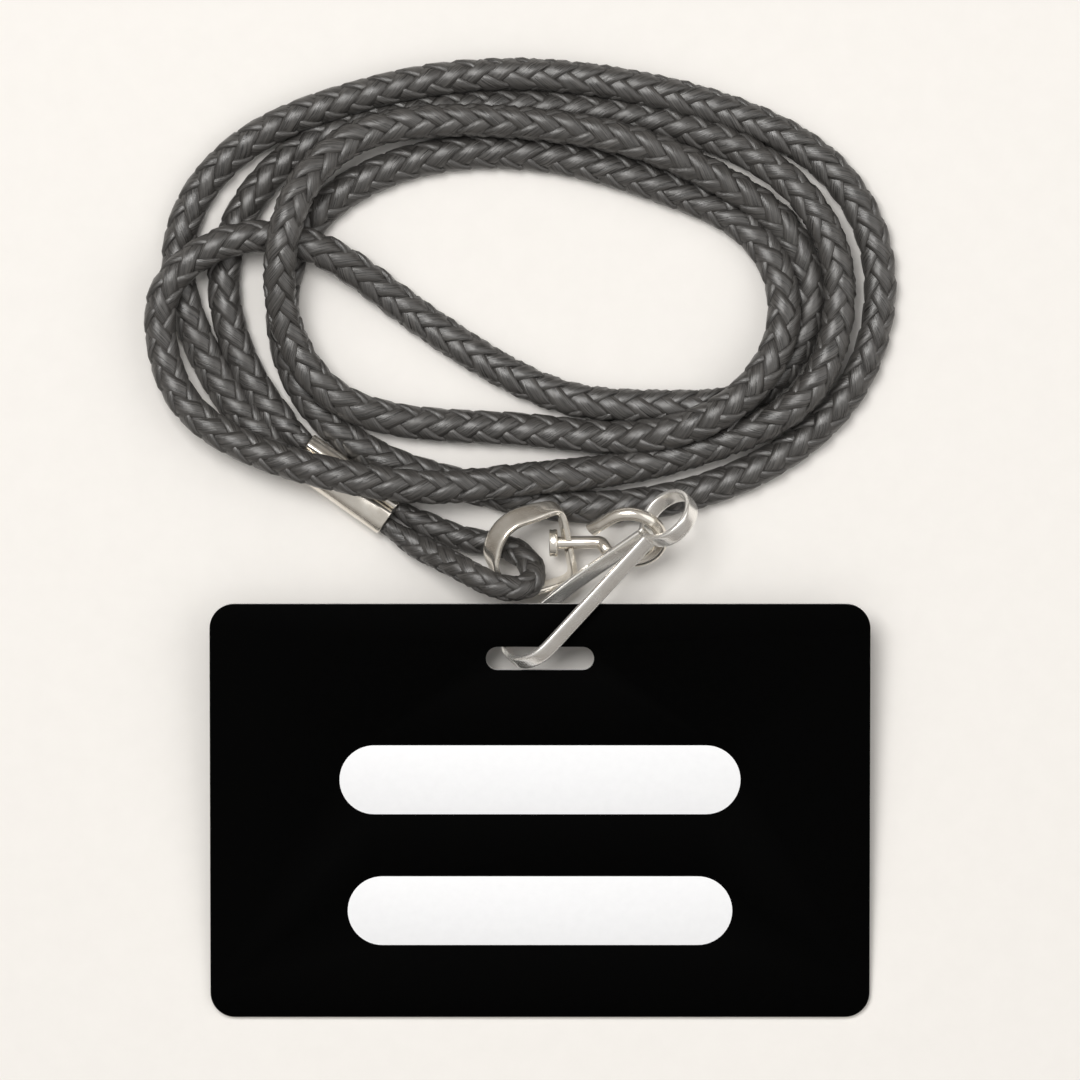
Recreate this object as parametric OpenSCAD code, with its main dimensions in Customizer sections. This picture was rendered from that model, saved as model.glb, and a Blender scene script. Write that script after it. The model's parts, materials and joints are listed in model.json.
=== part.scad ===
// Neck lanyard: one braided cord, crimped in a ferrule into a neck loop and a
// small hook loop, with a swivel eye, a swivel ring, a sprung J hook and a
// slotted badge card. It lies on a table, coiled. Millimetres, +Z up.

/* [Cord] */
// Width of the flattened braid
cord_w = 3.6; // [3:0.1:4.2]
// Height of the flattened braid
cord_h = 2.9; // [2.2:0.1:3.2]
// Share of its width that a strand keeps where the ferrule squeezes it
cord_pinch = 0.72; // [0.5:0.02:0.74]
// Width of the braid in the small loop that holds the swivel eye
bight_w = 3; // [2.4:0.1:3.2]

/* [Ferrule] */
// Length of the crimped sleeve
ferrule_len = 14.1; // [10:0.1:17]
// Width of the crimped sleeve
ferrule_w = 5.9; // [5.4:0.1:7]
// Height of the crimped sleeve
ferrule_h = 4; // [3.2:0.1:4.2]
// Thickness of the sleeve's sheet
ferrule_wall = 0.45; // [0.3:0.05:0.6]
// Width of the seam along the sleeve
ferrule_seam = 0.16; // [0.1:0.02:0.3]

/* [Swivel eye] */
// Outside height of the D-shaped eye, along its flat side
eye_height = 11.2; // [9.6:0.1:13.4]
// Outside depth of the eye, from its round back to its flat side
eye_depth = 11.2; // [9.6:0.1:13.4]
// Width of the strip that the eye is bent from
eye_strip_w = 2.8; // [2.2:0.1:3.2]
// Thickness of that strip
eye_strip_t = 0.9; // [0.7:0.05:1.1]
// Outside radius of the two corners at the flat side
eye_corner_r = 1.7; // [1.4:0.1:2.4]
// Hole in the flat side, for the swivel pin
eye_hole_d = 2.6; // [2.5:0.05:2.8]

/* [Swivel pin] */
// Diameter of the wire of the stem and its ring
wire_d = 1.7; // [1.3:0.05:1.8]
// Diameter of the upset head inside the eye
pin_head_d = 3.6; // [3.4:0.1:4]
// Thickness of the head
pin_head_t = 0.6; // [0.5:0.05:0.8]
// Room between the head and the eye's flat side
pin_head_play = 0.8; // [0.75:0.05:0.95]
// Radius of the ring, at the middle of its wire
ring_r = 4; // [3.8:0.1:4.3]

/* [Hook] */
// Width of the flat spring wire
hook_w = 2.2; // [1.8:0.1:2.6]
// Thickness of the flat spring wire
hook_t = 0.75; // [0.6:0.05:0.85]
// Radius of the loop at the ring's end, at the middle of the wire
hook_loop_r = 3.6; // [3.4:0.1:3.8]
// Radius of the J bend, at the middle of the wire
hook_bend_r = 4.2; // [4:0.05:4.3]
// Length of the straight front leg
hook_leg = 19.3; // [18.5:0.1:20]
// Gap at both ends of the gate
gate_gap = 0.15; // [0.1:0.01:0.2]

/* [Card] */
// Width of the card
card_w = 85.6; // [70:0.1:103]
// Height of the card
card_h = 54; // [53:0.1:55]
// Thickness of the card's core sheet
core_t = 0.6; // [0.45:0.05:0.7]
// Thickness of each printed outer sheet
sheet_t = 0.08; // [0.05:0.01:0.12]
// Radius of the card's corners
card_corner_r = 3.2; // [2.5:0.1:4.5]
// Length of the slot
slot_w = 14; // [12:0.1:16.8]
// Height of the slot
slot_h = 3; // [2.8:0.1:3.4]
// From the card's top edge to the slot
slot_edge = 5.6; // [5.2:0.1:6]
// Width of the upper printed bar
bar_w = 52; // [40:1:62]
// Height of each printed bar
bar_h = 9; // [6:0.5:11]

/* [Hidden] */
$fn = 48;
slack = 0.05;                     // room left under what rests on the table
card_t = core_t + 2 * sheet_t;
lead = 2;                         // straight run of each strand out of the ferrule

// --- places and turns of the pieces as they lie ---
ferrule_mid = [-25.2, 31.4, ferrule_h / 2];
ferrule_turn = -35;
eye_mid = [-1.3, 22.5, 4.35];
eye_turn = [21, 12, 16];
stem_turn = [0, -1, 1];
stem_hole = [3.54, 23.8, 3.26];
stem_run = 4.45;                  // from the hole to the bend into the ring
ring_mid = [11.75, 24.5, 5.88];
ring_turn = [40.5, -7.5, 0];
ring_start = -150;
ring_sweep = 278;
ring_tail = 3.3;                  // the straight, cut end of the ring
hook_mid = [13.1, 23.03, 8];
hook_turn = [-53, -6, 41];
// the slot's middle hangs at the hook and the card's lower edge rests on the table
card_hang = [0, 8.884, 4.984];
slot_up = card_h - slot_edge - slot_h / 2;
card_tilt = asin(card_hang[2] / slot_up);
card_foot = [card_hang[0], card_hang[1] - slot_up * cos(card_tilt), 0];

// --- the hook in its own plane: x along its legs, y across them ---
leg_slope = 10.4;
loop_mid = [5.2, 1.1];
neck_turn = 169;                  // where the loop ends, either side
leg_top = loop_mid + hook_loop_r * [cos(neck_turn), -sin(neck_turn)];
leg_end = leg_top - hook_leg * [cos(leg_slope), sin(leg_slope)];
bend_mid = leg_end + hook_bend_r * [-sin(leg_slope), cos(leg_slope)];
gate_root = loop_mid + hook_loop_r * [cos(neck_turn), sin(neck_turn)] - [hook_t / 2 + 1.5 * gate_gap, 0];
gate_knee = [-9.5, 3.75];
gate_tip = bend_mid + [-0.75, hook_bend_r - hook_t - gate_gap];

// --- the cord's route ---
// Each point is [x, y, level]: level 0 lies on the table, 1 on one strand.
// The two ends are where the strands leave the ferrule's upper end.
NECK_ROUTE = [
    [-36, 42.5, 0], [-40, 51, 0], [-41, 59, 0], [-37.5, 68.5, 0], [-30, 75.5, 0],
    [-18, 79.5, 0], [-4.5, 80.5, 0], [9, 79.5, 0], [23.5, 76, 0.1], [33, 70, 0.4],
    [38, 62, 0.6], [38.5, 52, 0.6], [34, 42.5, 0.9], [24, 37, 0.4], [11, 33.5, 0.3],
    [-2, 32, 0.8], [-14.5, 31, 1.3], [-26, 32.5, 1.6], [-37.5, 36, 1.2], [-46, 42, 1],
    [-49, 49.5, 0.8], [-48.5, 56.5, 1], [-43.5, 61.5, 1.1], [-36.5, 63.5, 1.1], [-29, 62, 0.9],
    [-19, 55.5, 0], [-8, 48, 0], [4, 42.5, 0], [17, 41.5, 0], [27.5, 43, 0],
    [33.5, 49.5, 0], [35, 57.5, 0], [32, 64.5, 0], [24, 70.5, 0.4], [13, 75.5, 0.8],
    [0, 78, 0.9], [-13, 78.5, 0.9], [-24.5, 76, 1.1], [-31, 69.5, 1.9], [-33.5, 61.5, 2.1],
    [-32.5, 51, 1.1], [-27.5, 43.5, 0.8], [-17, 39.5, 0.2], [-2.5, 38.5, 0.1], [11.5, 37.5, 0.3],
    [23, 40.5, 1.1], [30, 47.5, 0.9], [31.5, 56.5, 0.4], [27.5, 64, 0], [17.5, 69.5, 0],
    [4.5, 73.5, 0], [-9, 74.5, 0], [-21.5, 71.5, 0], [-30.5, 64.5, 0], [-33.5, 54.5, 0],
    [-31, 44, 0], [-23, 36, 0], [-9, 31, 0], [4.5, 28.5, 0], [19, 30, 0],
    [31, 35, 0], [40.5, 44, 0], [44, 54, 0], [43, 64, 0], [37, 73, 0],
    [26.5, 79, 0], [14.5, 82.5, 0.3], [0.5, 84.5, 0.4], [-13, 84, 0.4], [-26, 81, 0.4],
    [-37.5, 76, 0.2], [-45, 68, 0], [-47, 60.5, 0], [-45, 51.5, 0], [-39.5, 41.5, 0]];

// Each point is [x, y, z of the cord's middle]: under the eye's back, up
// inside it, over its lower side and back to the ferrule.
BIGHT_ROUTE = [
    [-13.5, 25.6, 1.8], [-9.5, 24.2, 1.7], [-5.9, 23.6, 2.2], [-3, 22.6, 3.1], [-1.2, 20.8, 4.6],
    [-1, 18.8, 6.2], [-3.4, 17.9, 7.4], [-7, 18.8, 7.8], [-11, 20.9, 5.8], [-15.2, 23, 3]];

// --- shared geometry ---

// A unit vector along v
function unit(v) = v / norm(v);

// Where a strand leaves the ferrule, or a lead beyond it: end and side are -1 or 1
function strand_exit(end, side, beyond = 0) =
    let (along = (ferrule_len / 2 + beyond) * end, across = (ferrule_w / 4 - 0.08) * side)
    ferrule_mid + [along * cos(ferrule_turn) - across * sin(ferrule_turn),
                   along * sin(ferrule_turn) + across * cos(ferrule_turn), 0];

// The route's points with their ends at the ferrule, in millimetres
function neck_points() = concat(
    [strand_exit(-1, 1), strand_exit(-1, 1, lead)],
    [for (p = NECK_ROUTE) [p[0], p[1], slack + cord_h * (0.5 + p[2])]],
    [strand_exit(-1, -1, lead), strand_exit(-1, -1)]);
function bight_points() = concat(
    [strand_exit(1, 1), strand_exit(1, 1, lead)],
    BIGHT_ROUTE,
    [strand_exit(1, -1, lead), strand_exit(1, -1)]);

// Direction of the route at point i
function heading(path, i) =
    let (a = path[max(i - 1, 0)], b = path[min(i + 1, len(path) - 1)]) unit(b - a);

// One ring of the oval tube: sides points round path[i]
function oval_ring(path, i, w, h, sides) =
    let (along = heading(path, i),
         across = unit(cross([0, 0, 1], along)),
         up = cross(along, across),
         ends = min(i, len(path) - 1 - i),
         squeeze = ends == 0 ? cord_pinch : ends == 1 ? (1 + cord_pinch) / 2 : 1)
    [for (k = [0 : sides - 1])
        let (a = 360 * (k + 0.5) / sides)
        path[i] + across * (w / 2 * squeeze * cos(a)) + up * (h / 2 * sin(a))];

// A closed oval tube swept along path
module oval_tube(path, w, h, sides = 8) {
    n = len(path);
    rings = [for (i = [0 : n - 1]) each oval_ring(path, i, w, h, sides)];
    walls = [for (i = [0 : n - 2], k = [0 : sides - 1])
        let (a = i * sides + k, b = i * sides + (k + 1) % sides)
        [a, a + sides, b + sides, b]];
    caps = [[for (k = [0 : sides - 1]) k],
            [for (k = [sides - 1 : -1 : 0]) (n - 1) * sides + k]];
    polyhedron(rings, concat(walls, caps), convexity = 12);
}

// A flat shape with round ends, w wide and h high
module stadium(w, h) {
    square([w - h, h], center = true);
    for (side = [-1, 1]) translate([side * (w - h) / 2, 0]) circle(d = h);
}

// A sector of a flat ring, from angle a0 to a1, t thick
module arc_band(r, t, a0, a1) {
    intersection() {
        difference() {
            circle(r = r + t / 2, $fn = 96);
            circle(r = r - t / 2, $fn = 96);
        }
        polygon(concat([[0, 0]], [for (k = [0 : 8]) let (a = a0 + (a1 - a0) * k / 8)
            (2 * r + t) * [cos(a), sin(a)]]));
    }
}

// A straight band from a to b, t thick, that runs over both by a little
module straight_band(a, b, t, over_a = 0, over_b = 0) {
    along = b - a;
    translate(a) rotate(atan2(along[1], along[0])) translate([-over_a, -t / 2])
        square([norm(along) + over_a + over_b, t]);
}

// --- the cord and its ferrule ---

module neck_cord() {
    color("dimgray") oval_tube(neck_points(), cord_w, cord_h);
}

module hook_cord() {
    color("dimgray") oval_tube(bight_points(), bight_w, cord_h);
}

// The two strands squeezed side by side inside the sleeve
module crimped_strands() {
    bore_w = ferrule_w - 2 * ferrule_wall;
    bore_h = ferrule_h - 2 * ferrule_wall;
    strand_w = bore_w / 2 - slack;
    color("dimgray") translate(ferrule_mid) rotate([0, 0, ferrule_turn]) rotate([0, 90, 0])
        linear_extrude(ferrule_len, center = true)
            for (side = [-1, 1]) intersection() {
                translate([0, side * bore_w / 4]) square([bore_h, strand_w], center = true);
                rotate(90) stadium(bore_w - slack, bore_h - slack);
            }
}

module ferrule() {
    color("silver") translate(ferrule_mid) rotate([0, 0, ferrule_turn]) rotate([0, 90, 0])
        linear_extrude(ferrule_len, center = true) rotate(90) difference() {
            stadium(ferrule_w, ferrule_h);
            stadium(ferrule_w - 2 * ferrule_wall, ferrule_h - 2 * ferrule_wall);
            translate([ferrule_w / 8, -ferrule_h]) square([ferrule_seam, ferrule_h]);
        }
}

// --- the swivel ---

// Outline of the D: a round back at the left and a flat side at the right
module eye_outline(inset) {
    back_r = eye_height / 2 - inset;
    flat_x = eye_depth - eye_height / 2 - inset;
    r = eye_corner_r - inset;
    circle(r = back_r, $fn = 96);
    translate([0, r - back_r]) square([flat_x, 2 * (back_r - r)]);
    translate([0, -back_r]) square([flat_x - r, 2 * back_r]);
    for (side = [-1, 1]) translate([flat_x - r, side * (back_r - r)]) circle(r = r);
}

// The strip bent into a D, with the pin's hole through its flat side
module eye_strip() {
    color("gainsboro") translate(eye_mid) rotate(eye_turn) difference() {
        linear_extrude(eye_strip_w, center = true) difference() {
            eye_outline(0);
            eye_outline(eye_strip_t);
        }
        translate([eye_depth - eye_height / 2 - 2 * eye_strip_t, 0, 0]) rotate([0, 90, 0])
            cylinder(d = eye_hole_d, h = 4 * eye_strip_t);
    }
}

// A round rod of the pin's wire from a to b
module rod(a, b) {
    along = b - a;
    translate(a) rotate([0, acos(along[2] / norm(along)), atan2(along[1], along[0])])
        cylinder(d = wire_d, h = norm(along), $fn = 24);
}

// The vector v turned the way rotate([t[0], t[1], 0]) turns it
function tilted(v, t) =
    let (y = v[1] * cos(t[0]) - v[2] * sin(t[0]), z = v[1] * sin(t[0]) + v[2] * cos(t[0]))
    [v[0] * cos(t[1]) + z * sin(t[1]), y, z * cos(t[1]) - v[0] * sin(t[1])];

// Head, stem and ring are one wire, bent where the stem meets the ring
module swivel_pin() {
    head_at = -eye_strip_t / 2 - pin_head_play - pin_head_t;
    ring_end = ring_start + ring_sweep;
    stem_along = [cos(stem_turn[1]) * cos(stem_turn[2]), cos(stem_turn[1]) * sin(stem_turn[2]),
                  -sin(stem_turn[1])];
    bend = stem_hole + stem_run * stem_along;
    ring_a = ring_mid + tilted(ring_r * [cos(ring_start), sin(ring_start), 0], ring_turn);
    ring_b = ring_mid + tilted(ring_r * [cos(ring_end), sin(ring_end), 0], ring_turn);
    color("silver") {
        translate(stem_hole) rotate(stem_turn) rotate([0, 90, 0]) {
            translate([0, 0, head_at]) cylinder(d = pin_head_d, h = pin_head_t);
            translate([0, 0, head_at]) cylinder(d = wire_d, h = stem_run - head_at);
        }
        translate(bend) sphere(d = wire_d, $fn = 24);
        rod(bend, ring_a);
        translate(ring_a) sphere(d = wire_d, $fn = 24);
        translate(ring_mid) rotate(ring_turn) rotate([0, 0, ring_start])
            rotate_extrude(angle = ring_sweep, $fn = 96) translate([ring_r, 0])
                circle(d = wire_d, $fn = 24);
        rod(ring_b, ring_b + ring_tail * tilted([-sin(ring_end), cos(ring_end), 0], ring_turn));
    }
}

// --- the hook ---

// Puts a flat profile, drawn in the hook's plane, at the hook's place
module in_hook(w) {
    translate(hook_mid) rotate(hook_turn) linear_extrude(w, center = true) children();
}

// Front leg, J bend and loop, one strip
module hook_wire() {
    color("whitesmoke") in_hook(hook_w) {
        translate(loop_mid) arc_band(hook_loop_r, hook_t, -neck_turn, neck_turn);
        straight_band(leg_end, leg_top, hook_t, 0.1, hook_t / 2);
        translate(bend_mid) arc_band(hook_bend_r, hook_t, 94, 270 + leg_slope);
    }
}

// The sprung leg that closes the hook's mouth from inside
module gate_leg() {
    color("whitesmoke") in_hook(hook_w) {
        straight_band(gate_knee, gate_root, hook_t, 0.05);
        straight_band(gate_tip, gate_knee, hook_t, 0, 0.05);
    }
}

// --- the badge card ---

// Puts a layer of the card, from height z, at the card's place
module in_card(z, thickness) {
    translate(card_foot) rotate([card_tilt, 0, 0]) translate([0, 0, z])
        linear_extrude(thickness) children();
}

// Outline of the card and its slot; its bottom edge is on y = 0
module card_outline() {
    difference() {
        union() {
            translate([-card_w / 2, card_corner_r]) square([card_w, card_h - 2 * card_corner_r]);
            translate([card_corner_r - card_w / 2, 0])
                square([card_w - 2 * card_corner_r, card_h]);
            for (side = [-1, 1], y = [card_corner_r, card_h - card_corner_r])
                translate([side * (card_w / 2 - card_corner_r), y]) circle(r = card_corner_r);
        }
        translate([0, card_h - slot_edge - slot_h / 2]) stadium(slot_w, slot_h);
    }
}

// A printed bar with round ends; row is 0 for the upper and 1 for the lower
module printed_bar(row) {
    translate([0, card_h * (0.575 - 0.317 * row)]) stadium(bar_w * (1 - 0.04 * row), bar_h);
}

module card_core() {
    color("white") in_card(sheet_t, core_t) card_outline();
}

module card_front_sheet() {
    color("black") in_card(sheet_t + core_t, sheet_t) difference() {
        card_outline();
        printed_bar(0);
        printed_bar(1);
    }
}

module card_back_sheet() {
    color("black") in_card(0, sheet_t) card_outline();
}

module card_upper_bar() {
    color("white") in_card(sheet_t + core_t, sheet_t) printed_bar(0);
}

module card_lower_bar() {
    color("white") in_card(sheet_t + core_t, sheet_t) printed_bar(1);
}

neck_cord();
hook_cord();
crimped_strands();
ferrule();
eye_strip();
swivel_pin();
hook_wire();
gate_leg();
card_core();
card_front_sheet();
card_back_sheet();
card_upper_bar();
card_lower_bar();
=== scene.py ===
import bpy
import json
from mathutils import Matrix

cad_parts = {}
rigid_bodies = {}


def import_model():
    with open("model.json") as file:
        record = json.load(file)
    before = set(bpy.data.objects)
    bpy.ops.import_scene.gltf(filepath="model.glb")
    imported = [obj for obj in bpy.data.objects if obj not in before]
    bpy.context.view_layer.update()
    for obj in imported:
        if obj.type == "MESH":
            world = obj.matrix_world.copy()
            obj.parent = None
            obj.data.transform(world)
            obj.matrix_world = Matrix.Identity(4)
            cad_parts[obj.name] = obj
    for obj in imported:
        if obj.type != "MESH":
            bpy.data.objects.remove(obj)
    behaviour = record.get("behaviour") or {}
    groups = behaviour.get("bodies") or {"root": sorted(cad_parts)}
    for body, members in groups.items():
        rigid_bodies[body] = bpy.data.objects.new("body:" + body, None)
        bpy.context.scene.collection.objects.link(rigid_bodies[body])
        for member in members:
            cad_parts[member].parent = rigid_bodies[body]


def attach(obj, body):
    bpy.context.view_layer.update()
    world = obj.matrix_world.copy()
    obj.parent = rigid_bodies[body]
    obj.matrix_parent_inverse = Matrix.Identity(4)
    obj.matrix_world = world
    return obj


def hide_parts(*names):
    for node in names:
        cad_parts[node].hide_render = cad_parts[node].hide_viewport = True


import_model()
"""A coiled neck lanyard: braided cord, crimped ferrule, swivel, sprung J hook and badge card.

The cord, the sleeve and the studio are sized in metres, the other parts in millimetres. The
cord's routes repeat the part's own points. Every swept piece, from a yarn to the hook's spring
wire, is a rail that one node tree turns into a solid.
"""
import json
import logging
import math
from dataclasses import dataclass, field
from enum import Enum
from typing import Sequence

import bmesh
import bpy
import numpy as np
from mathutils import Euler, Matrix, Vector

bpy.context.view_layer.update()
MM = 0.001
UP = np.array([0.0, 0.0, 1.0])
log = logging.getLogger("lanyard")


class Body(Enum):
    """The rigid bodies that pieces ride on."""

    CORD = "cord"
    EYE = "eye"
    SWIVEL = "swivel"
    HOOK = "hook"
    GATE = "gate"
    CARD = "card"


class Slot(Enum):
    """The record's material slots."""

    BRAID = "braid"
    NICKEL = "nickel"
    BRIGHT = "bright_nickel"
    BLACK = "card_black"
    WHITE = "card_white"


# --- the cord's routes, in millimetres ---

# [x, y, level]: level 0 lies on the table, 1 on one strand
NECK_ROUTE = [
    (-36, 42.5, 0), (-40, 51, 0), (-41, 59, 0), (-37.5, 68.5, 0), (-30, 75.5, 0),
    (-18, 79.5, 0), (-4.5, 80.5, 0), (9, 79.5, 0), (23.5, 76, 0.1), (33, 70, 0.4),
    (38, 62, 0.6), (38.5, 52, 0.6), (34, 42.5, 0.9), (24, 37, 0.4), (11, 33.5, 0.3),
    (-2, 32, 0.8), (-14.5, 31, 1.3), (-26, 32.5, 1.6), (-37.5, 36, 1.2), (-46, 42, 1),
    (-49, 49.5, 0.8), (-48.5, 56.5, 1), (-43.5, 61.5, 1.1), (-36.5, 63.5, 1.1), (-29, 62, 0.9),
    (-19, 55.5, 0), (-8, 48, 0), (4, 42.5, 0), (17, 41.5, 0), (27.5, 43, 0),
    (33.5, 49.5, 0), (35, 57.5, 0), (32, 64.5, 0), (24, 70.5, 0.4), (13, 75.5, 0.8),
    (0, 78, 0.9), (-13, 78.5, 0.9), (-24.5, 76, 1.1), (-31, 69.5, 1.9), (-33.5, 61.5, 2.1),
    (-32.5, 51, 1.1), (-27.5, 43.5, 0.8), (-17, 39.5, 0.2), (-2.5, 38.5, 0.1), (11.5, 37.5, 0.3),
    (23, 40.5, 1.1), (30, 47.5, 0.9), (31.5, 56.5, 0.4), (27.5, 64, 0), (17.5, 69.5, 0),
    (4.5, 73.5, 0), (-9, 74.5, 0), (-21.5, 71.5, 0), (-30.5, 64.5, 0), (-33.5, 54.5, 0),
    (-31, 44, 0), (-23, 36, 0), (-9, 31, 0), (4.5, 28.5, 0), (19, 30, 0),
    (31, 35, 0), (40.5, 44, 0), (44, 54, 0), (43, 64, 0), (37, 73, 0),
    (26.5, 79, 0), (14.5, 82.5, 0.3), (0.5, 84.5, 0.4), (-13, 84, 0.4), (-26, 81, 0.4),
    (-37.5, 76, 0.2), (-45, 68, 0), (-47, 60.5, 0), (-45, 51.5, 0), (-39.5, 41.5, 0)]

# [x, y, z of the cord's middle]
BIGHT_ROUTE = [
    (-13.5, 25.6, 1.8), (-9.5, 24.2, 1.7), (-5.9, 23.6, 2.2), (-3, 22.6, 3.1), (-1.2, 20.8, 4.6),
    (-1, 18.8, 6.2), (-3.4, 17.9, 7.4), (-7, 18.8, 7.8), (-11, 20.9, 5.8), (-15.2, 23, 3)]


# --- curves and frames ---

def unit(v: np.ndarray) -> np.ndarray:
    """Scales each row of v to length one."""
    return v / np.maximum(np.linalg.norm(v, axis=-1, keepdims=True), 1e-12)


def turned(degrees: Sequence[float]) -> np.ndarray:
    """The rotation matrix of three turns about X, then Y, then Z."""
    return np.array(Euler([math.radians(d) for d in degrees], "XYZ").to_matrix())


def run_of(line: np.ndarray) -> np.ndarray:
    """The distance travelled at each point of the line."""
    return np.concatenate([[0], np.cumsum(np.linalg.norm(np.diff(line, axis=0), axis=1))])


def eased(share: np.ndarray) -> np.ndarray:
    """The share clipped to 0 to 1, with a smooth start and end."""
    share = np.clip(share, 0, 1)
    return share * share * (3 - 2 * share)


def resampled(points: np.ndarray, step: float, closed: bool = False) -> np.ndarray:
    """Points a step apart along the straight lines between the given ones.

    Args:
        points: the corners, one a row.
        step: the spacing wanted.
        closed: whether the last point joins the first.

    Returns:
        The new points; a closed line doesn't repeat its first.
    """
    corners = np.vstack([points, points[:1]]) if closed else points
    at = run_of(corners)
    count = max(4, int(round(at[-1] / step)))
    s = np.linspace(0, at[-1], count + 1)
    line = np.stack([np.interp(s, at, corners[:, k]) for k in range(corners.shape[1])], 1)
    return line[:-1] if closed else line


def through(points: np.ndarray, step: float, parts: int = 24) -> np.ndarray:
    """A natural cubic spline through the points.

    Args:
        points: what it passes through, one a row.
        step: the spacing of the points given back.
        parts: how many straight bits stand for the curve between two of the points.

    Returns:
        Points a step apart on the spline.
    """
    gap = np.maximum(np.linalg.norm(np.diff(points, axis=0), axis=1), 1e-9)
    n = len(points)
    system, right = np.eye(n), np.zeros_like(points)
    for i in range(1, n - 1):
        system[i, i - 1:i + 2] = gap[i - 1], 2 * (gap[i - 1] + gap[i]), gap[i]
        right[i] = 6 * ((points[i + 1] - points[i]) / gap[i] - (points[i] - points[i - 1]) / gap[i - 1])
    bend = np.linalg.solve(system, right)
    fine = []
    for i in range(n - 1):
        t = np.linspace(0, 1, parts, endpoint=False)[:, None]
        a, b, h = 1 - t, t, gap[i] ** 2 / 6
        fine.append(a * points[i] + b * points[i + 1]
                    + h * ((a ** 3 - a) * bend[i] + (b ** 3 - b) * bend[i + 1]))
    return resampled(np.vstack(fine + [points[-1:]]), step)


def softened(line: np.ndarray, reach: int, closed: bool = False) -> np.ndarray:
    """Eases a line's corners by a bell-shaped average along it.

    Args:
        line: the points, one a row, evenly spaced.
        reach: the bell's spread, in points.
        closed: whether the last point joins the first.

    Returns:
        As many points, on the eased line.
    """
    pad = 2 * reach
    weights = np.exp(-0.5 * (np.arange(-pad, pad + 1) / reach) ** 2)
    weights /= weights.sum()
    if closed:
        wide = np.vstack([line[-pad:], line, line[:pad]])
    else:
        head = 2 * line[0] - line[pad:0:-1]
        tail = 2 * line[-1] - line[-2:-pad - 2:-1]
        wide = np.vstack([head, line, tail])
    return np.stack([np.convolve(wide[:, k], weights, "valid") for k in range(line.shape[1])], 1)


def headings(line: np.ndarray, closed: bool = False) -> np.ndarray:
    """Finds the direction of travel along a line.

    Args:
        line: the points, one a row.
        closed: whether the last point joins the first.

    Returns:
        A unit direction for each point.
    """
    if closed:
        return unit(np.roll(line, -1, 0) - np.roll(line, 1, 0))
    return unit(np.gradient(line, axis=0))


def arc_of(mid: Sequence[float], r: float, start: float, end: float, count: int = 60) -> np.ndarray:
    """Points on a flat arc.

    Args:
        mid: the arc's middle.
        r: its radius.
        start: where it starts, in degrees.
        end: where it ends, in degrees.
        count: how many points it has.

    Returns:
        The points, one a row.
    """
    a = np.radians(np.linspace(start, end, count))
    return np.array(mid) + r * np.stack([np.cos(a), np.sin(a)], 1)


# --- nodes and finishes ---

def add_node(tree: bpy.types.NodeTree, kind: str, **values: object) -> bpy.types.Node:
    """Adds a node and sets its values.

    Args:
        tree: the tree it goes in.
        kind: the node's type.
        **values: its properties, or its inputs where the name is an input's.

    Returns:
        The node.
    """
    node = tree.nodes.new(kind)
    for name, value in values.items():
        if hasattr(node, name):
            setattr(node, name, value)
        else:
            node.inputs[name.replace("_", " ")].default_value = value
    return node


def join(tree: bpy.types.NodeTree,
         *links: tuple[bpy.types.Node, int | str, bpy.types.Node, int | str]) -> None:
    """Links nodes.

    Args:
        tree: the tree they are in.
        *links: each link, as (node, its output, next node, its input).
    """
    for source, give, target, take in links:
        tree.links.new(source.outputs[give], target.inputs[take])


def shades(tree: bpy.types.NodeTree, span: tuple[float, float],
           ends: Sequence[Sequence[float]]) -> bpy.types.Node:
    """Adds a colour ramp.

    Args:
        tree: the tree it goes in.
        span: the values at which the two colours stand.
        ends: the two colours.

    Returns:
        The ramp.
    """
    ramp = tree.nodes.new("ShaderNodeValToRGB")
    for element, position, colour in zip(ramp.color_ramp.elements, span, ends):
        element.position, element.color = position, (*colour, 1)
    return ramp


class GrainGroup:
    """Fine grain that every finish shares: a mask, and a normal with that grain in it."""

    _tree: bpy.types.NodeTree | None = None

    @classmethod
    def tree(cls) -> bpy.types.NodeTree:
        """Builds the group once.

        Returns:
            The group, the same one each time.
        """
        if cls._tree:
            return cls._tree
        tree = bpy.data.node_groups.new("fine_grain", "ShaderNodeTree")
        for name, kind, start in (("Vector", "Vector", None), ("Scale", "Float", 400.0),
                                  ("Stretch", "Vector", (1.0, 1.0, 1.0)), ("Depth", "Float", 0.1)):
            socket = tree.interface.new_socket(name, in_out="INPUT", socket_type="NodeSocket" + kind)
            if start is not None:
                socket.default_value = start
        for name, kind in (("Mask", "Float"), ("Normal", "Vector")):
            tree.interface.new_socket(name, in_out="OUTPUT", socket_type="NodeSocket" + kind)
        inside, out = tree.nodes.new("NodeGroupInput"), tree.nodes.new("NodeGroupOutput")
        stretch = add_node(tree, "ShaderNodeVectorMath", operation="MULTIPLY")
        noise = add_node(tree, "ShaderNodeTexNoise", Detail=3.0, Roughness=0.6)
        bump = add_node(tree, "ShaderNodeBump", Distance=0.00004)
        join(tree, (inside, "Vector", stretch, 0), (inside, "Stretch", stretch, 1),
             (stretch, 0, noise, "Vector"), (inside, "Scale", noise, "Scale"),
             (noise, "Fac", bump, "Height"), (inside, "Depth", bump, "Strength"),
             (noise, "Fac", out, "Mask"), (bump, "Normal", out, "Normal"))
        cls._tree = tree
        return tree


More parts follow.
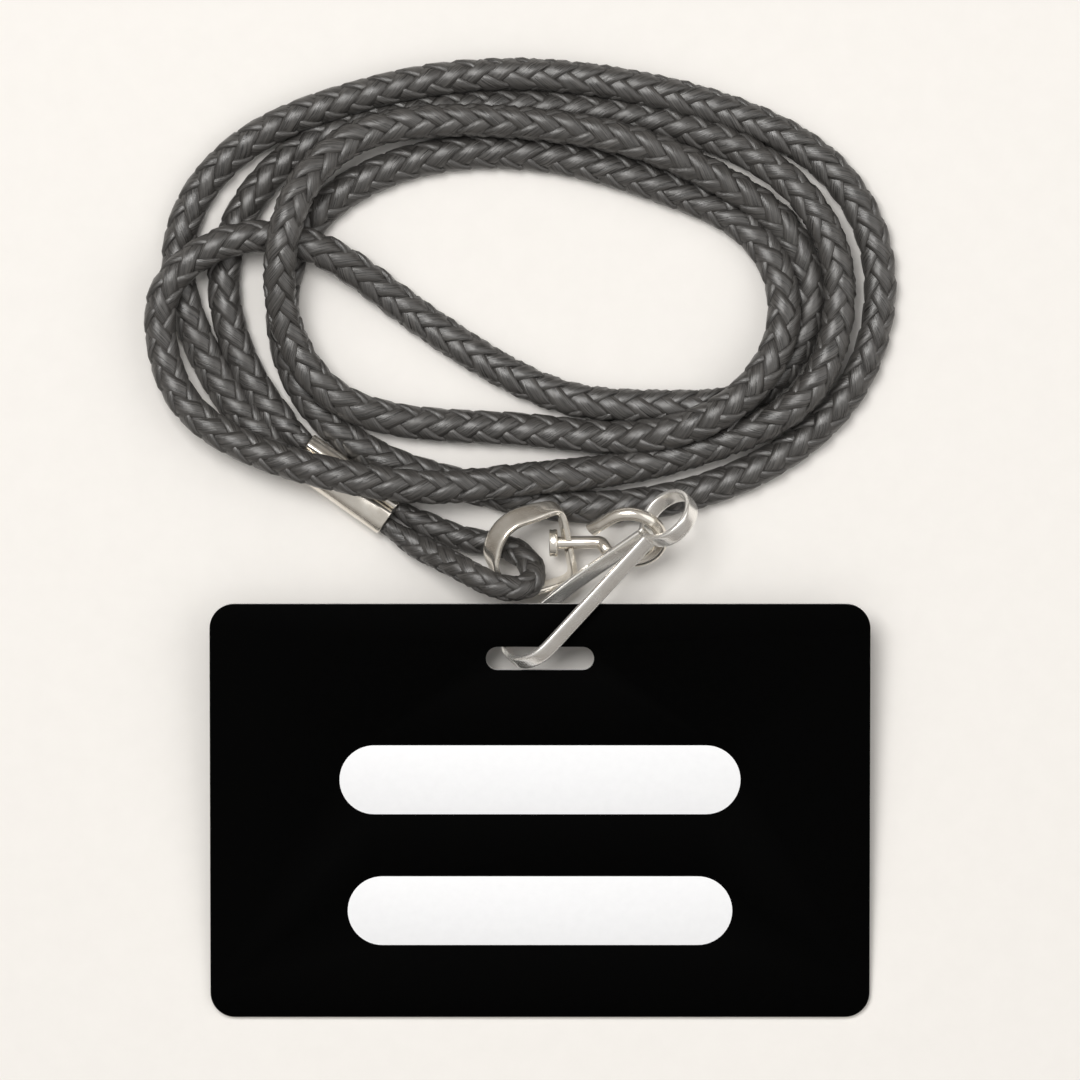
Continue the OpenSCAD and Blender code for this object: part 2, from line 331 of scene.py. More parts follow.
@dataclass(frozen=True)
class Finish:
    """A surface with fine grain: colour between two shades, gloss between two roughnesses.

    Attributes:
        name: the material's name.
        dark: the colour where the grain is low.
        light: the colour where the grain is high.
        rough: the least and the most roughness.
        metallic: how far the surface is metal.
        specular: the strength of its plain reflection.
        scale: the grain's fineness.
        stretch: what a place is multiplied by, axis by axis, before its grain is looked up.
        depth: the strength of the grain's relief.
        attribute: the mesh attribute that the grain follows; without one, it follows the object.
    """

    name: str
    dark: tuple[float, float, float]
    light: tuple[float, float, float]
    rough: tuple[float, float] = (0.3, 0.4)
    metallic: float = 0.0
    specular: float = 0.5
    scale: float = 400.0
    stretch: tuple[float, float, float] = (1.0, 1.0, 1.0)
    depth: float = 0.1
    attribute: str = ""

    def material(self) -> bpy.types.Material:
        """Builds the material, or finds the one already built.

        Returns:
            The material that carries this finish.
        """
        if self.name in bpy.data.materials:
            return bpy.data.materials[self.name]
        material = bpy.data.materials.new(self.name)
        material.use_nodes = True
        tree = material.node_tree
        shader = tree.nodes["Principled BSDF"]
        shader.inputs["Metallic"].default_value = self.metallic
        shader.inputs["Specular IOR Level"].default_value = self.specular
        if self.attribute:
            place, give = add_node(tree, "ShaderNodeAttribute", attribute_name=self.attribute), "Vector"
        else:
            place, give = tree.nodes.new("ShaderNodeTexCoord"), "Object"
        grain = add_node(tree, "ShaderNodeGroup", node_tree=GrainGroup.tree(), Scale=self.scale,
                         Stretch=self.stretch, Depth=self.depth)
        colour = shades(tree, COLOUR_SPAN, (self.dark, self.light))
        gloss = add_node(tree, "ShaderNodeMapRange", From_Min=GLOSS_SPAN[0], From_Max=GLOSS_SPAN[1],
                         To_Min=self.rough[0], To_Max=self.rough[1])
        join(tree, (place, give, grain, "Vector"), (grain, "Mask", colour, "Fac"),
             (grain, "Mask", gloss, "Value"), (colour, "Color", shader, "Base Color"),
             (gloss, "Result", shader, "Roughness"), (grain, "Normal", shader, "Normal"))
        return material


# the part of the grain's range over which the colour and the gloss change
COLOUR_SPAN = (0.32, 0.68)
GLOSS_SPAN = (0.3, 0.7)

YARN = Finish("yarn_filaments", (0.005, 0.0046, 0.0042), (0.09, 0.085, 0.08), (0.24, 0.4),
              specular=0.8, scale=1.0, stretch=(0.22, 11.0, 11.0), depth=1.0, attribute="lay")
# painted shade: the braid's core is a near-black matte tube, so the gaps between the yarns show painted
# shade
CORE = Finish("braid_core", (0.006, 0.006, 0.006), (0.012, 0.012, 0.012), (0.8, 0.9), specular=0.2)
NICKEL = Finish("nickel_plate", (0.80, 0.75, 0.67), (0.88, 0.84, 0.77), (0.16, 0.26),
                metallic=0.9, scale=500.0, depth=0.012)
BRIGHT = Finish("bright_nickel_plate", (0.95, 0.93, 0.89), (0.98, 0.965, 0.935), (0.22, 0.28),
                metallic=0.8, scale=450.0, depth=0.01)
BLACK = Finish("black_laminate", (0.0003, 0.0003, 0.0003), (0.0006, 0.0006, 0.0006), (0.6, 0.7),
               specular=0.02, scale=900.0, depth=0.05)
WHITE = Finish("white_print", (0.84, 0.85, 0.87), (0.86, 0.87, 0.89), (0.5, 0.55),
               specular=0.3, scale=900.0, depth=0.005)
PVC = Finish("white_core", (0.75, 0.75, 0.74), (0.8, 0.8, 0.79), (0.45, 0.55), specular=0.3, scale=900.0)
TABLE = Finish("pale_table", (0.81, 0.79, 0.762), (0.825, 0.805, 0.777), (0.7, 0.8),
               specular=0.2, scale=300.0, depth=0.02)


# --- making and finishing pieces ---

def added(name: str, data: bpy.types.ID) -> bpy.types.Object:
    """Makes an object and puts it in the scene.

    Args:
        name: its name.
        data: its mesh, curve, lamp or camera.

    Returns:
        The object.
    """
    obj = bpy.data.objects.new(name, data)
    bpy.context.scene.collection.objects.link(obj)
    return obj


def shell(name: str, verts: Sequence[Sequence[float]], faces: Sequence[tuple[int, ...]],
          finish: Finish) -> bpy.types.Object:
    """Makes an object of plain faces.

    Args:
        name: the piece's name.
        verts: its corners.
        faces: the corners of each face.
        finish: what it is dressed in.

    Returns:
        The object.
    """
    mesh = bpy.data.meshes.new(name)
    mesh.from_pydata([tuple(v) for v in verts], [], faces)
    mesh.materials.append(finish.material())
    return added(name, mesh)


def finished(obj: bpy.types.Object, body: Body, replaces: Sequence[str] = (),
             crease: float = 35.0) -> bpy.types.Object:
    """Applies an object's modifiers, turns its faces outwards and hands it to the frame.

    Args:
        obj: the object, already at its place.
        body: the body that it rides on.
        replaces: the plain nodes that it stands for.
        crease: the angle in degrees above which an edge stays sharp.

    Returns:
        The same object with a plain mesh.
    """
    graph = bpy.context.evaluated_depsgraph_get()
    mesh = bpy.data.meshes.new_from_object(obj.evaluated_get(graph), depsgraph=graph)
    obj.modifiers.clear()
    obj.data = mesh
    work = bmesh.new()
    work.from_mesh(mesh)
    bmesh.ops.remove_doubles(work, verts=work.verts, dist=1e-7)
    bmesh.ops.recalc_face_normals(work, faces=work.faces)
    work.to_mesh(mesh)
    work.free()
    mesh.polygons.foreach_set("use_smooth", [True] * len(mesh.polygons))
    mesh.set_sharp_from_angle(angle=math.radians(crease))
    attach(obj, body.value)
    if replaces:
        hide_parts(*replaces)
    log.info("%s: %d faces", obj.name, len(mesh.polygons))
    return obj


# --- sweeping ---

class Section(Enum):
    """Cross-sections, as (the power that squares the corners, the number of corners)."""

    ROUND = (2.0, 20)
    YARN = (2.3, 8)
    STRIP = (5.0, 32)
    CORE = (2.0, 12)

    def profile(self) -> bpy.types.Object:
        """Makes the closed outline once, with half-widths of one.

        Returns:
            The outline as an object, the same one each time.
        """
        name = "section_" + self.name.lower()
        if name in bpy.data.objects:
            return bpy.data.objects[name]
        power, count = self.value
        a = 2 * math.pi * (np.arange(count) + 0.5) / count
        c, s = np.cos(a), np.sin(a)
        xy = np.stack([np.sign(c) * abs(c) ** (2 / power), np.sign(s) * abs(s) ** (2 / power), 0 * c], 1)
        mesh = bpy.data.meshes.new(name)
        mesh.from_pydata(xy.tolist(), [(k, (k + 1) % count) for k in range(count)], [])
        put = mesh.attributes.new("section", "FLOAT_VECTOR", "POINT")
        put.data.foreach_set("vector", xy.ravel())
        return bpy.data.objects.new(name, mesh)


class SweepTree:
    """The node tree that gives a rail its cross-section and its material."""

    _tree: bpy.types.NodeTree | None = None

    @classmethod
    def tree(cls) -> bpy.types.NodeTree:
        """Builds the tree once: rail and outline to solid, each point placed by its own axes.

        Returns:
            The tree, the same one each time.
        """
        if cls._tree:
            return cls._tree
        tree = bpy.data.node_groups.new("sweep_section", "GeometryNodeTree")
        for name, way, kind in (("Geometry", "INPUT", "Geometry"), ("Outline", "INPUT", "Object"),
                                ("Finish", "INPUT", "Material"), ("Geometry", "OUTPUT", "Geometry")):
            tree.interface.new_socket(name, in_out=way, socket_type="NodeSocket" + kind)
        inside, out = tree.nodes.new("NodeGroupInput"), tree.nodes.new("NodeGroupOutput")
        info = tree.nodes.new("GeometryNodeObjectInfo")
        rail, ring = (tree.nodes.new("GeometryNodeMeshToCurve") for _ in range(2))
        solid = add_node(tree, "GeometryNodeCurveToMesh", Fill_Caps=True)
        named = {name: add_node(tree, "GeometryNodeInputNamedAttribute", data_type="FLOAT_VECTOR", Name=name)
                 for name in ("centre", "wide", "thick", "section")}
        split = tree.nodes.new("ShaderNodeSeparateXYZ")
        scale = [add_node(tree, "ShaderNodeVectorMath", operation="SCALE") for _ in range(2)]
        add = [add_node(tree, "ShaderNodeVectorMath", operation="ADD") for _ in range(2)]
        place = tree.nodes.new("GeometryNodeSetPosition")
        real = tree.nodes.new("GeometryNodeRealizeInstances")
        dress = tree.nodes.new("GeometryNodeSetMaterial")
        for k, axis in enumerate(("wide", "thick")):
            join(tree, (named[axis], "Attribute", scale[k], 0), (split, k, scale[k], "Scale"),
                 (scale[k], 0, add[k], 1))
        join(tree, (inside, "Geometry", rail, "Mesh"), (inside, "Outline", info, "Object"),
             (info, "Geometry", ring, "Mesh"), (rail, "Curve", solid, "Curve"),
             (ring, "Curve", solid, "Profile Curve"), (named["section"], "Attribute", split, 0),
             (named["centre"], "Attribute", add[0], 0), (add[0], 0, add[1], 0),
             (solid, "Mesh", place, "Geometry"), (add[1], 0, place, "Position"),
             (place, "Geometry", real, "Geometry"), (real, "Geometry", dress, "Geometry"),
             (inside, "Finish", dress, "Material"), (dress, "Geometry", out, "Geometry"))
        cls._tree = tree
        return tree


@dataclass
class Rail:
    """One line to sweep along: its points, and the half-width axes of the section at each.

    Attributes:
        line: the centre points.
        wide: the section's first half-axis at each point.
        thick: the section's second half-axis at each point.
        closed: whether the line joins its own start.
        shift: where the finish's grain starts, so that no two rails share it.
    """

    line: np.ndarray
    wide: np.ndarray
    thick: np.ndarray
    closed: bool = False
    shift: float = 0.0


def swept(name: str, rails: Sequence[Rail], section: Section, finish: Finish) -> bpy.types.Object:
    """Sweeps the section along the rails.

    Args:
        name: the piece's name.
        rails: the lines, with their axes.
        section: the outline to sweep.
        finish: what the piece is dressed in.

    Returns:
        The object, with the sweep still a modifier on it.
    """
    edges, start = [], 0
    for rail in rails:
        n = len(rail.line)
        edges += [(start + k, start + k + 1) for k in range(n - 1)]
        if rail.closed:
            edges.append((start + n - 1, start))
        start += n
    points = np.vstack([rail.line for rail in rails])
    mesh = bpy.data.meshes.new(name)
    mesh.from_pydata(points.tolist(), edges, [])
    for key, values in (("centre", points), ("wide", np.vstack([rail.wide for rail in rails])),
                        ("thick", np.vstack([rail.thick for rail in rails]))):
        mesh.attributes.new(key, "FLOAT_VECTOR", "POINT").data.foreach_set("vector", values.ravel())
    along = np.concatenate([run_of(rail.line) / MM + rail.shift for rail in rails])
    mesh.attributes.new("along", "FLOAT", "POINT").data.foreach_set("value", along)
    mesh.materials.append(finish.material())
    obj = added(name, mesh)
    sweep = obj.modifiers.new("sweep", "NODES")
    sweep.node_group = SweepTree.tree()
    ids = {s.name: s.identifier for s in SweepTree.tree().interface.items_tree
           if s.item_type == "SOCKET" and s.in_out == "INPUT"}
    sweep[ids["Outline"]] = section.profile()
    sweep[ids["Finish"]] = finish.material()
    return obj


def laid(obj: bpy.types.Object) -> None:
    """Stores the lay of the grain, (distance along, section x, section y), on a swept mesh.

    Args:
        obj: the finished sweep, which loses the attributes that made it.
    """
    mesh = obj.data
    count = len(mesh.vertices)
    along, section = np.zeros(count), np.zeros(count * 3)
    mesh.attributes["along"].data.foreach_get("value", along)
    mesh.attributes["section"].data.foreach_get("vector", section)
    lay = np.column_stack([along, section.reshape(-1, 3)[:, :2]])
    mesh.attributes.new("lay", "FLOAT_VECTOR", "POINT").data.foreach_set("vector", lay.ravel())
    for key in ("centre", "wide", "thick", "section", "along"):
        if key in mesh.attributes:
            mesh.attributes.remove(mesh.attributes[key])


# --- the cord ---

@dataclass
class Ferrule:
    """The crimped sleeve: a sheet folded round the strands, its two edges turned in at the top.

    Attributes:
        mid: its middle, resting on the table.
        turn: its heading in degrees.
        length: its length.
        width: its outside width.
        height: its outside height.
        wall: the sheet's thickness.
        seam: how far the seam lies from the middle of the top.
        gap: half the seam's width.
        dip: how deep the edges are turned in.
        lip: the turned-in edge, as (millimetres from the gap, share of the dip).
        mouth: half the width of top that the two edges take the place of.
        square: the power that squares the outline's corners.
        ends: the sheet towards an end, as (millimetres from it, share of the wall).
        waist: the share of the wall at the middle.
        inset: how far a strand's middle is inside a quarter of the width.
        lead: how far a strand runs straight on outside the sleeve.
    """

    mid: tuple[float, float, float] = (-25.2 * MM, 31.4 * MM, 2 * MM)
    turn: float = -35.0
    length: float = 14.1 * MM
    width: float = 5.9 * MM
    height: float = 4.0 * MM
    wall: float = 0.45 * MM
    seam: float = 0.74 * MM
    gap: float = 0.24 * MM
    dip: float = 0.95 * MM
    lip: tuple[tuple[float, float], ...] = ((0.0, 1.0), (0.02, 0.55), (0.16, 0.16), (0.5, 0.0))
    mouth: float = 0.85 * MM
    square: float = 0.92
    ends: tuple[tuple[float, float], ...] = ((0.0, 0.55), (0.06, 0.85), (0.2, 1.0), (2.4, 0.97))
    waist: float = 0.94
    inset: float = 0.08 * MM
    lead: float = 2 * MM

    def place(self, along: float, across: float, up: float = 0.0) -> np.ndarray:
        """The point so far along, across and above the sleeve's middle."""
        c, s = math.cos(math.radians(self.turn)), math.sin(math.radians(self.turn))
        return np.array(self.mid) + np.array([along * c - across * s, along * s + across * c, up])

    def exit(self, end: int, side: int, beyond: float = 0.0) -> np.ndarray:
        """Where a strand leaves: end and side are -1 or 1, beyond is how far outside."""
        return self.place((self.length / 2 + beyond) * end, (self.width / 4 - self.inset) * side)

    def sheet_line(self) -> np.ndarray:
        """Draws the sheet's middle line across the sleeve.

        Returns:
            Points (across, up), from one turned-in edge round to the other.
        """
        w, h = self.width / 2 - self.wall / 2, self.height / 2 - self.wall / 2
        turn = np.radians(np.linspace(90, -270, 90))
        c, d = np.cos(turn), np.sin(turn)
        outline = np.stack([w * np.sign(c) * abs(c) ** self.square,
                            h * np.sign(d) * abs(d) ** self.square], 1)
        outline = outline[(outline[:, 1] < 0) | (abs(outline[:, 0] - self.seam) > self.mouth)]
        outline = np.roll(outline, -int(np.argmax(outline[:, 0] > self.seam)), 0)
        right = [(self.seam + (self.gap + a * MM), h - b * self.dip) for a, b in self.lip]
        left = [(self.seam - (self.gap + a * MM), h - b * self.dip) for a, b in reversed(self.lip)]
        return softened(resampled(np.vstack([right, outline, left]), 0.12 * MM), 2)

    def build(self) -> bpy.types.Object:
        """Makes the sleeve from its sheet line, with softly rolled ends.

        Returns:
            The sleeve.
        """
        line = self.sheet_line()
        flat = headings(line)
        out = np.stack([-flat[:, 1], flat[:, 0]], 1)
        half = self.length / 2
        stations = [*((-half + a * MM, share) for a, share in self.ends), (0.0, self.waist),
                    *((half - a * MM, share) for a, share in reversed(self.ends))]
        verts, faces, n = [], [], len(line)
        for along, thick in stations:
            for sign in (1, -1):
                side = line + sign * out * self.wall / 2 * thick
                verts += [self.place(along, x, z) for x, z in side]
        ring = 2 * n
        for k in range(len(stations) - 1):
            a, b = k * ring, (k + 1) * ring
            for i in range(n - 1):
                faces.append((a + i, a + i + 1, b + i + 1, b + i))
                faces.append((a + n + i + 1, a + n + i, b + n + i, b + n + i + 1))
            faces.append((a, b, b + n, a + n))
            faces.append((a + n - 1, a + 2 * n - 1, b + 2 * n - 1, b + n - 1))
        last = (len(stations) - 1) * ring
        for i in range(n - 1):
            faces.append((i, n + i, n + i + 1, i + 1))
            faces.append((last + i, last + i + 1, last + n + i + 1, last + n + i))
        obj = shell("ferrule_sleeve", verts, faces, NICKEL)
        return finished(obj, Body.CORD, ("ferrule",), crease=50)


@dataclass
class Braid:
    """A tubular braid of flat multifilament yarns, half laid each way, over two and under two.

    Attributes:
        width: the cord's outside width as it lies.
        height: its outside height.
        pitch: the length in which a yarn goes once round.
        carriers: the number of yarns.
        yarn_w: a yarn's width.
        yarn_t: a yarn's thickness.
        dive: how much deeper a yarn lies where it passes under.
        step: the spacing of the points along the cord.
        knot: the spacing of the places where the cord's turn, lean and girth are drawn.
        roll: the spread of the cord's turn about its line from knot to knot, in radians.
        settle: how far a turn falls back to one of the four that show the pattern best.
        lean: the spread of the cord's lean to one side, in radians.
        swell: the spread of its girth.
        core_in: how far the core, a near-black tube of painted shade in the braid's hollow, stays inside the
            cord, at the sides and above and below.
        seed: what the random draws start from.
    """

    width: float = 4.35 * MM
    height: float = 3.0 * MM
    pitch: float = 14.2 * MM
    carriers: int = 8
    yarn_w: float = 2.35 * MM
    yarn_t: float = 1.15 * MM
    dive: float = 0.5 * MM
    step: float = 0.76 * MM
    knot: float = 0.022
    roll: float = 0.32
    settle: float = 0.22
    lean: float = 0.1
    swell: float = 0.03
    core_in: tuple[float, float] = (1.15 * MM, 0.8 * MM)
    seed: int = 3

    @staticmethod
    def axes(line: np.ndarray) -> tuple[np.ndarray, np.ndarray]:
        """Finds the directions beside and above a line that lies nearly level.

        Args:
            line: the points, one a row.

        Returns:
            The unit directions across it and up from it, at each point.
        """
        along = headings(line)
        across = unit(np.cross(UP, along))
        return across, np.cross(along, across)

    def rails(self, line: np.ndarray, squeeze: np.ndarray) -> list[Rail]:
        """Lays the yarns along the cord's line.

        Args:
            line: the cord's centreline.
            squeeze: the share of its width that the cord keeps at each point.

        Returns:
            One rail for each yarn.
        """
        rng = np.random.default_rng(self.seed)
        across, up = self.axes(line)
        s = run_of(line)
        knots = np.arange(0, s[-1] + 0.05, self.knot)
        roll = np.interp(s, knots, np.cumsum(rng.normal(0, self.roll, len(knots))))
        most = 2 * self.lean
        lean = np.interp(s, knots, rng.normal(0, self.lean, len(knots)).clip(-most, most))
        roll, lean = (softened(v[:, None], 8)[:, 0] for v in (roll, lean))
        roll -= self.settle * np.sin(4 * roll)
        swell = 1 + self.swell * np.interp(s, knots, rng.normal(0, 1, len(knots)))
        half_w = self.width / 2 * squeeze * swell
        half_h = self.height / 2 * (0.35 + 0.65 * np.minimum(squeeze * 1.3, 1))
        rails = []
        for k in range(self.carriers):
            way = 1 if k % 2 else -1
            start = 2 * math.pi * (k // 2 + 0.5 * (k % 2)) / (self.carriers / 2)
            own = way * (2 * math.pi * s / self.pitch) + start
            # 1 where the yarn passes over, 0 where it passes under
            over = np.clip(1.3 * way * np.cos(2 * own), -1, 1) * 0.5 + 0.5
            angle = own + roll
            depth = self.yarn_t / 2 + self.dive * (1 - over)
            a, b = half_w - depth, half_h - depth * 0.95
            x, z = a * np.cos(angle), b * np.sin(angle)
            nx, nz = unit(np.stack([np.cos(angle) / half_w, np.sin(angle) / half_h], 1)).T
            c, d = np.cos(lean), np.sin(lean)
            x, z, nx, nz = x * c - z * d, x * d + z * c, nx * c - nz * d, nx * d + nz * c
            centre = line + across * x[:, None] + up * z[:, None]
            out = across * nx[:, None] + up * nz[:, None]
            way_on = headings(centre)
            out = unit(out - way_on * (out * way_on).sum(1)[:, None])
            side = np.cross(way_on, out)
            slim = (0.55 + 0.45 * squeeze)[:, None]
            # a yarn spreads where it passes over, and wavers a little
            spread = (0.8 + 0.24 * over + 0.04 * np.sin(s * 700 + 2 * k))[:, None]
            rails.append(Rail(centre, side * self.yarn_w / 2 * slim * spread,
                              out * self.yarn_t / 2 * (0.75 + 0.25 * over)[:, None], shift=2000.0 * k))
        return rails

    def build(self, name: str, line: np.ndarray, squeeze: np.ndarray,
              replaces: Sequence[str]) -> list[bpy.types.Object]:
        """Makes the yarns and the core that they hide; the core is a near-black tube that paints shade into
        the gaps between the yarns.

        Args:
            name: the braid's name.
            line: the cord's centreline.
            squeeze: the share of its width that the cord keeps at each point.
            replaces: the plain nodes that the braid stands for.

        Returns:
            The braid and its core.
        """
        yarns = swept(name, self.rails(line, squeeze), Section.YARN, YARN)
        finished(yarns, Body.CORD, replaces, crease=180)
        laid(yarns)
        across, up = self.axes(line)
        size = squeeze[:, None]
        # a near-black tube in the braid's hollow: painted shade seen through the gaps between the yarns
        core = Rail(line[::2], (across * (self.width / 2 - self.core_in[0]) * size)[::2],
                    (up * (self.height / 2 - self.core_in[1]) * size)[::2])
        shade_core_tube = swept(name + "_core", [core], Section.CORE, CORE)
        finished(shade_core_tube, Body.CORD, crease=180)
        return [yarns, shade_core_tube]


@dataclass
class Cord:
    """The whole cord: the neck loop, the small hook loop and the strands in the sleeve.

    Attributes:
        ferrule: the sleeve that holds the four ends.
        slack: the room left under what rests on the table.
        strand_h: the height of one strand, by which the levels stack.
        pinch: the share of its width that a strand keeps at the sleeve.
        crimp: how much less of it a strand keeps inside the sleeve.
        ease: the length over which a strand regains its width.
        neck: the braid of the neck loop.
        bight: the braid of the hook loop.
    """

    ferrule: Ferrule = field(default_factory=Ferrule)
    slack: float = 0.05 * MM
    strand_h: float = 2.9 * MM
    pinch: float = 0.66
    crimp: float = 0.08
    ease: float = 5.5 * MM
    neck: Braid = field(default_factory=Braid)
    bight: Braid = field(default_factory=lambda: Braid(width=3.35 * MM, height=2.85 * MM, pitch=12.5 * MM,
                                                       yarn_w=2.0 * MM, yarn_t=1.0 * MM, dive=0.42 * MM,
                                                       step=0.6 * MM, roll=0.2, seed=8))

    def line(self, end: int, middle: np.ndarray, step: float) -> np.ndarray:
        """Draws a strand's centreline, from the sleeve's end round and back to it.

        Args:
            end: the sleeve's end, -1 or 1.
            middle: the points between, one a row.
            step: the spacing of the points given back.

        Returns:
            Points a step apart.
        """
        sleeve = self.ferrule
        points = [sleeve.exit(end, 1), sleeve.exit(end, 1, sleeve.lead), *middle,
                  sleeve.exit(end, -1, sleeve.lead), sleeve.exit(end, -1)]
        return through(np.array(points), step)

    def squeeze(self, line: np.ndarray) -> np.ndarray:
        """The share of its width that a strand keeps at each point: less towards both ends."""
        s = run_of(line)
        return self.pinch + (1 - self.pinch) * eased(np.minimum(s, s[-1] - s) / self.ease)

    def build(self) -> None:
        """Makes both loops, and the strands between them."""
        neck_mid = np.array([(x * MM, y * MM, self.slack + self.strand_h * (0.5 + level))
                             for x, y, level in NECK_ROUTE])
        bight_mid = np.array(BIGHT_ROUTE) * MM
        for name, node, braid, end, middle, width in (
                ("neck_braid", "neck_cord", self.neck, -1, neck_mid, 4 * MM),
                ("loop_braid", "hook_cord", self.bight, 1, bight_mid, 3.2 * MM)):
            line = self.line(end, middle, braid.step)
            pieces = braid.build(name, line, self.squeeze(line), (node,))
        sleeve = self.ferrule
        for side, name in ((1, "crimped_far"), (-1, "crimped_near")):
            ends = np.array([sleeve.exit(-1, side), sleeve.exit(1, side)])
            line = resampled(ends, 0.6 * MM)
            self.neck.build(name, line, np.full(len(line), self.pinch - self.crimp), ("crimped_strands",))
        sleeve.build()


# --- the swivel ---

@dataclass
class Eye:
    """The D-shaped eye, bent from a strip, with the pin's hole through its flat side.

    Attributes:
        mid: the middle of its round back.
        turn: its turns about X, Y and Z, in degrees.
        height: its outside height.
        depth: its outside depth, from the round back to the flat side.
        strip_w: the strip's width.
        strip_t: the strip's thickness.
        corner: the outside radius of the flat side's corners.
        hole: the diameter of the pin's hole.
        cone: how far the strip leans out on the round back, in degrees.
        cone_at: the places round the back, in degrees, between which the lean changes.
        cone_share: the share of the lean at each of those places.
        plate_lead: how far before the flat side the strip starts to narrow.
        plate_run: the length over which it narrows.
        plate_less: the share of its width that it loses.
    """

    mid: tuple[float, float, float] = (-1.3, 22.5, 4.35)
    turn: tuple[float, float, float] = (21, 12, 16)
    height: float = 11.2
    depth: float = 11.2
    strip_w: float = 2.8
    strip_t: float = 0.9
    corner: float = 1.7
    hole: float = 2.6
    cone: float = 32.0
    cone_at: tuple[float, ...] = (35, 75, 165, 178)
    cone_share: tuple[float, ...] = (0, 1, 1, 0.2)
    plate_lead: float = 0.9
    plate_run: float = 0.8
    plate_less: float = 0.16

    def drill(self, flat: float) -> bpy.types.Object:
        """Makes the drill for the pin's hole.

        Args:
            flat: how far the flat side is from the middle.

        Returns:
            The drill, through the flat side.
        """
        mesh = bpy.data.meshes.new("drill")
        work = bmesh.new()
        bmesh.ops.create_cone(work, cap_ends=True, segments=40, radius1=self.hole / 2 * MM,
                              radius2=self.hole / 2 * MM, depth=4 * MM)
        work.to_mesh(mesh)
        work.free()
        for move in (Matrix.Rotation(math.pi / 2, 4, "Y"), Matrix.Translation(Vector((flat * MM, 0, 0))),
                     Matrix(turned(self.turn).tolist()).to_4x4(), Matrix.Translation(Vector(self.mid) * MM)):
            mesh.transform(move)
        return added("drill", mesh)

    def build(self) -> bpy.types.Object:
        """Sweeps the strip round the D and drills its flat side.

        Returns:
            The eye.
        """
        t = self.strip_t / 2
        r, back = self.corner - t, self.height / 2 - t
        flat = self.depth - self.height / 2 - t
        line = np.vstack([
            arc_of((0, 0), back, 90, 270, 50), arc_of((flat - r, r - back), r, -90, 0, 12),
            arc_of((flat - r, back - r), r, 0, 90, 12)])
        line = softened(resampled(line, 0.25, closed=True), 2, closed=True)
        line = np.column_stack([line, np.zeros(len(line))])
        away = np.cross(headings(line, closed=True), UP)
        round_back = np.degrees(np.arctan2(line[:, 1], line[:, 0]))
        lean = self.cone * np.interp(round_back, self.cone_at, self.cone_share)
        lean = np.radians(softened(lean[:, None], 3, closed=True))
        rise, away = np.cos(lean) * UP - np.sin(lean) * away, np.cos(lean) * away + np.sin(lean) * UP
        half = self.strip_w / 2 * (1 - self.plate_less * eased((line[:, 0] - flat + self.plate_lead)
                                                               / self.plate_run))
        line, wide, thick = (v @ turned(self.turn).T for v in (line, rise * half[:, None], away * t))
        rail = Rail((line + np.array(self.mid)) * MM, wide * MM, thick * MM, closed=True)
        obj = swept("eye_band", [rail], Section.STRIP, NICKEL)
        tool = self.drill(flat)
        cut = obj.modifiers.new("hole", "BOOLEAN")
        cut.operation, cut.object, cut.solver = "DIFFERENCE", tool, "EXACT"
        finished(obj, Body.EYE, ("eye_strip",), crease=50)
        bpy.data.objects.remove(tool)
        return obj


